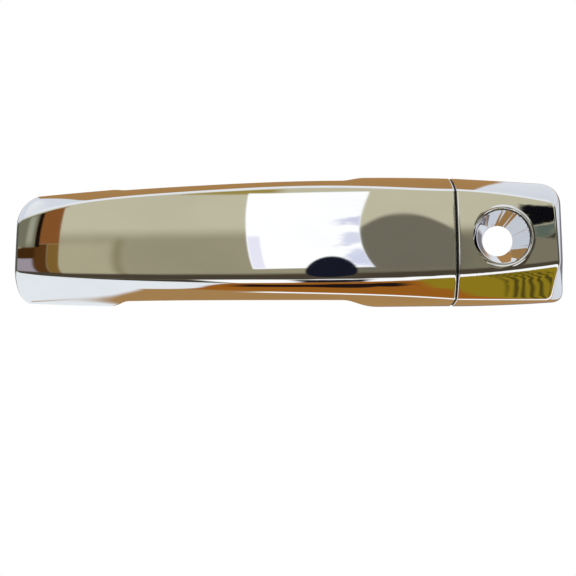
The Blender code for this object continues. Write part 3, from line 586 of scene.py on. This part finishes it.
# ---- Pieces -------------------------------------------------------------------------------------
def add_chrome():
    for made, node, body in ((chrome_grip(), "grip_cover", "grip"), (chrome_cap(), "end_cap", "base")):
        made.data.materials.append(MATERIALS["chrome"])
        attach(made, body)
        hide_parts(node)


def add_spring():
    """A wound wire coil in place of the imported spring; it stays as made and is not attached to the crank.
    """
    made = torsion_spring()
    made.data.materials.append(MATERIALS["steel"])
    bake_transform(made)
    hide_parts("return_spring")


# ---- Light, floor and camera --------------------------------------------------------------------
REFLECTED = 1.18  # brightness of the surroundings in the chrome
# Each patch lies over those before it: a colour, then limits as (low, high, softness). az and el are the
# azimuth from the front and the elevation, in degrees; x, y and z are parts of the unit direction; the
# other names are the mixtures of these that direction_values() makes.
PATCHES = (
    # In front: the wall's paler far end, its darker side to the right, and a bright sheet with soft folds.
    ((168, 161, 134), {"az": (None, -33, 2.5), "el": (-60, 12, 4)}),
    ((136, 128, 100), {"az": (-33.6, -32.2, 0.9), "el": (-20, 13, 3)}),
    ((118, 113, 94), {"az": (2, None, 2), "el": (-60, 13, 4)}),
    ((108, 104, 90), {"az": (1, 19, 3), "el": (-12, 26, 4), "hump": (None, 25, 1.6)}),
    ((150, 132, 66), {"az": (-27, -10, 2), "el": (37.0, 42, 0.8)}),
    ((255, 255, 255), {"slant": (-13.35, None, 0.15), "bow": (None, 3.2, 0.2), "el": (-8, 37.5, 0.5)}),
    ((228, 226, 240), {"slant": (-13.2, -11.4, 0.2), "el": (-7.6, 13, 1.5)}),
    ((214, 216, 232), {"az_wavy": (0.6, None, 0.8), "bow": (None, 3.1, 0.2), "el_wavy": (8, 14, 1.5)}),
    ((206, 210, 230), {"az_wavy": (1.2, None, 1.0), "bow": (None, 3.1, 0.2), "el_wavy": (-7, 3, 2.0)}),
    ((206, 206, 226), {"az_wavy": (0.0, None, 1.2), "bow": (None, 3.1, 0.2), "el_wavy": (19, 23, 1.5)}),
    # Furniture at the two sides.
    ((128, 80, 40), {"lean": (-46, -41.5, 0.15), "el": (11, 34, 0.5)}),
    ((84, 52, 22), {"lean": (-47, -43.2, 0.2), "el": (-30, 11, 0.5)}),
    ((122, 92, 44), {"lean": (-43.2, -41.5, 0.15), "el": (-30, 11, 0.5)}),
    ((14, 8, 6), {"lean": (-45.1, -44.4, 0.12), "el": (9.5, 34, 0.6)}),
    ((112, 110, 92), {"lean": (-60, -45.1, 0.15), "el": (9.5, 34, 0.6)}),
    ((150, 150, 132), {"lean": (-46.4, -45.5, 0.25), "el": (11, 26, 3)}),
    ((62, 38, 14), {"lean": (-60, -45.0, 0.3), "el": (3, 9, 0.6)}),
    ((150, 142, 150), {"lean": (-60, -45.3, 0.3), "el": (-30, 3, 0.6)}),
    ((12, 11, 15), {"az_wavy": (28.8, 40, 0.8), "el_wavy": (17.5, 27, 0.9)}),
    ((88, 98, 88), {"az_wavy": (29.2, 40, 0.9), "el_wavy": (11, 16.5, 1.4)}),
    ((30, 30, 28), {"az_wavy": (31.5, 40, 0.9), "el_wavy": (8.5, 10.5, 0.9)}),
    # Under the front: a dark table edge with a dark rounded lump on it, a bright strip, and its warm top.
    ((70, 62, 50), {"el": (-36, -14, 3), "y": (None, 0.1, 0.05)}),
    ((22, 24, 36), {"blob": (None, 1.0, 0.12), "y": (None, 0.0, 0.05)}),
    ((250, 250, 250), {"az": (-26, None, 2), "el": (-60, -36, 2.5), "y": (None, 0.15, 0.05)}),
    ((26, 24, 32), {"az_wavy": (-9, 7, 1.5), "el_wavy": (-60, -40, 3), "y": (None, 0.0, 0.05)}),
    ((62, 56, 46), {"az": (-100, -26, 2), "el": (-60, -36, 2.5), "y": (None, 0.0, 0.05)}),
    ((150, 91, 29), {"z": (None, -0.86, 0.02)}),
    ((30, 20, 18), {"x": (-0.19, 0.15, 0.03), "y": (-0.3, -0.03, 0.015), "z": (None, -0.86, 0.02)}),
    ((138, 118, 28), {"x": (0.19, None, 0.02), "tilt": (None, -0.09, 0.008), "z": (None, -0.80, 0.02)}),
    (
        (78, 68, 20),
        {
            "x": (0.345, 0.46, 0.015),
            "tilt": (None, -0.11, 0.01),
            "z": (None, -0.80, 0.02),
            "stripe": (0, None, 0.8),
        },
    ),
    # Behind: warm timber above and below, a grey middle, and pale ends.
    ((160, 122, 76), {"y": (0.5, None, 0.05), "z": (0.12, 0.75, 0.04)}),
    ((160, 124, 78), {"y": (0.25, None, 0.05), "z": (None, -0.1, 0.04)}),
    ((118, 114, 122), {"x": (None, 0.38, 0.02), "y": (0.5, None, 0.05), "z": (-0.12, 0.16, 0.04)}),
    ((208, 212, 219), {"cant": (0.103, None, 0.004), "y": (-0.2, None, 0.05), "z": (0.2, None, 0.05)}),
    ((208, 213, 221), {"x": (None, -0.236, 0.006), "y": (-0.2, None, 0.05), "z": (0.2, None, 0.05)}),
    ((224, 228, 232), {"wedge": (None, -0.402, 0.006), "y": (-0.45, None, 0.04), "z": (None, -0.1, 0.05)}),
    ((224, 228, 232), {"x": (None, -0.235, 0.01), "y": (-0.45, None, 0.04), "z": (None, -0.1, 0.05)}),
    ((206, 210, 218), {"x": (0.38, None, 0.02), "y": (0.4, None, 0.1), "z": (-0.5, 0.2, 0.05)}),
    ((226, 228, 232), {"z": (0.78, None, 0.05)}),
    ((84, 84, 76), {"x": (None, -0.8, 0.05), "z": (-0.35, 0.5, 0.1)}),
    ((70, 68, 60), {"x": (0.8, None, 0.05), "z": (-0.35, 0.5, 0.1)}),
    ((250, 250, 250), {"x": (-0.1, None, 0.02), "y": (0.3, 0.62, 0.04), "z": (None, -0.6, 0.05)}),
)


def direction_values(nodes):
    """What the patches' limits are stated in, by name."""

    def mixed(value, gain, base):
        return nodes.math("MULTIPLY_ADD", value, gain, base)

    def squared_from(value, middle):
        return nodes.math("POWER", nodes.math("SUBTRACT", value, middle), 2.0)

    way = nodes.add("ShaderNodeTexCoord").outputs["Generated"]
    x, y, z = nodes.add("ShaderNodeSeparateXYZ", {0: way}).outputs
    degrees = 180 / math.pi
    azimuth = nodes.math("ARCTAN2", x, nodes.math("MULTIPLY", y, -1.0))
    azimuth = nodes.math("MULTIPLY", azimuth, degrees)
    elevation = nodes.math("MULTIPLY", nodes.math("ARCSINE", z), degrees)
    wave = nodes.add("ShaderNodeTexNoise", {"Vector": way, "Scale": 14.0, "Detail": 2.0}).outputs["Fac"]
    sway = nodes.math("SUBTRACT", wave, 0.5)
    across = nodes.math("POWER", mixed(azimuth, 1 / 4.0, 0.3), 2.0)
    upward = nodes.math("POWER", mixed(elevation, 1 / 12.0, 1.0), 2.0)
    return {
        "az": azimuth,
        "el": elevation,
        "x": x,
        "y": y,
        "z": z,
        "az_wavy": mixed(sway, 5.0, azimuth),
        "el_wavy": mixed(sway, 12.0, elevation),
        "slant": mixed(elevation, 0.05, azimuth),
        "bow": mixed(squared_from(elevation, 14.0), -0.0045, azimuth),
        "lean": mixed(squared_from(elevation, 3.0), 0.0037, azimuth),
        "hump": mixed(squared_from(azimuth, 10.0), 0.18, elevation),
        "cant": mixed(z, -0.11, x),
        "wedge": mixed(y, -0.32, x),
        "tilt": mixed(x, -0.8, y),
        "blob": nodes.math("ADD", across, upward),
        "stripe": nodes.math("SINE", mixed(sway, 16.0, nodes.math("MULTIPLY", x, 330.0))),
    }


def surroundings():
    """Soft surroundings for the chrome to reflect, laid out by direction; plain white behind the object."""
    world = bpy.data.worlds.new("studio")
    bpy.context.scene.world = world
    world.use_nodes = True
    nodes = Nodes(world.node_tree)
    values = direction_values(nodes)
    room = nodes.mix(nodes.ramp(values["el"], 11, 20), rgb(148, 142, 117), rgb(188, 183, 158))
    for colour, limits in PATCHES:
        share = 1.0
        for key, (low, high, soft) in limits.items():
            if low is not None:
                inside = nodes.ramp(values[key], low - soft, low + soft)
                share = nodes.math("MULTIPLY", share, inside)
            if high is not None:
                inside = nodes.ramp(values[key], high - soft, high + soft, 1.0, 0.0)
                share = nodes.math("MULTIPLY", share, inside)
        room = nodes.mix(share, room, rgb(*colour))
    behind = nodes.add("ShaderNodeBackground", {0: (1, 1, 1, 1), 1: 1.0}).outputs[0]
    lit = nodes.add("ShaderNodeBackground", {0: room, 1: REFLECTED}).outputs[0]
    seen = nodes.add("ShaderNodeLightPath").outputs["Is Camera Ray"]
    picked = nodes.add("ShaderNodeMixShader", {0: seen, 1: lit, 2: behind}).outputs[0]
    nodes.add("ShaderNodeOutputWorld", {0: picked})


FLOOR_REACH, FLOOR_Z = 0.42, -0.32


def add_floor():
    mesh = bpy.data.meshes.new("floor")
    r, z = FLOOR_REACH, FLOOR_Z
    mesh.from_pydata([(-r, -r, z), (r, -r, z), (r, r, z), (-r, r, z)], [], [(0, 1, 2, 3)])
    floor = bpy.data.objects.new("floor", mesh)
    bpy.context.scene.collection.objects.link(floor)
    made, nodes, shader = surface("floor")
    nodes.put(shader.inputs["Base Color"], (0.8, 0.8, 0.79, 1))
    nodes.put(shader.inputs["Roughness"], 0.8)
    mesh.materials.append(made)
    floor.visible_glossy = False


LAMP_SIZE = 0.8


def add_light(name, at, power):
    """A square soft lamp that faces the origin and isn't reflected in the chrome."""
    lamp = bpy.data.lights.new(name, "AREA")
    lamp.shape, lamp.size, lamp.size_y, lamp.energy = "RECTANGLE", LAMP_SIZE, LAMP_SIZE, power
    obj = bpy.data.objects.new(name, lamp)
    obj.location = at
    obj.rotation_euler = (-Vector(at)).to_track_quat("-Z", "Y").to_euler()
    obj.visible_glossy = False
    bpy.context.scene.collection.objects.link(obj)


CAMERA_AT, CAMERA_TO = Vector((0, -0.790, -0.050)), Vector((0, -0.020, -0.0193))
CAMERA_LENS, CAMERA_ROLL = 114.5, math.radians(-1.0)


def add_camera():
    data = bpy.data.cameras.new("camera")
    data.lens, data.sensor_width = CAMERA_LENS, 36.0
    data.clip_start, data.clip_end = 0.05, 20
    camera = bpy.data.objects.new("camera", data)
    turn = (CAMERA_TO - CAMERA_AT).to_track_quat("-Z", "Y").to_matrix().to_4x4()
    camera.matrix_world = Matrix.Translation(CAMERA_AT) @ turn @ Matrix.Rotation(CAMERA_ROLL, 4, "Z")
    bpy.context.scene.collection.objects.link(camera)
    bpy.context.scene.camera = camera


surroundings()
add_camera()
add_floor()
add_light("key", (-0.5, -0.9, 0.9), 11)
add_light("back", (0.4, 0.9, 0.7), 24)
finish_nodes()
add_chrome()
add_spring()
bpy.context.scene.view_settings.view_transform = "Standard"
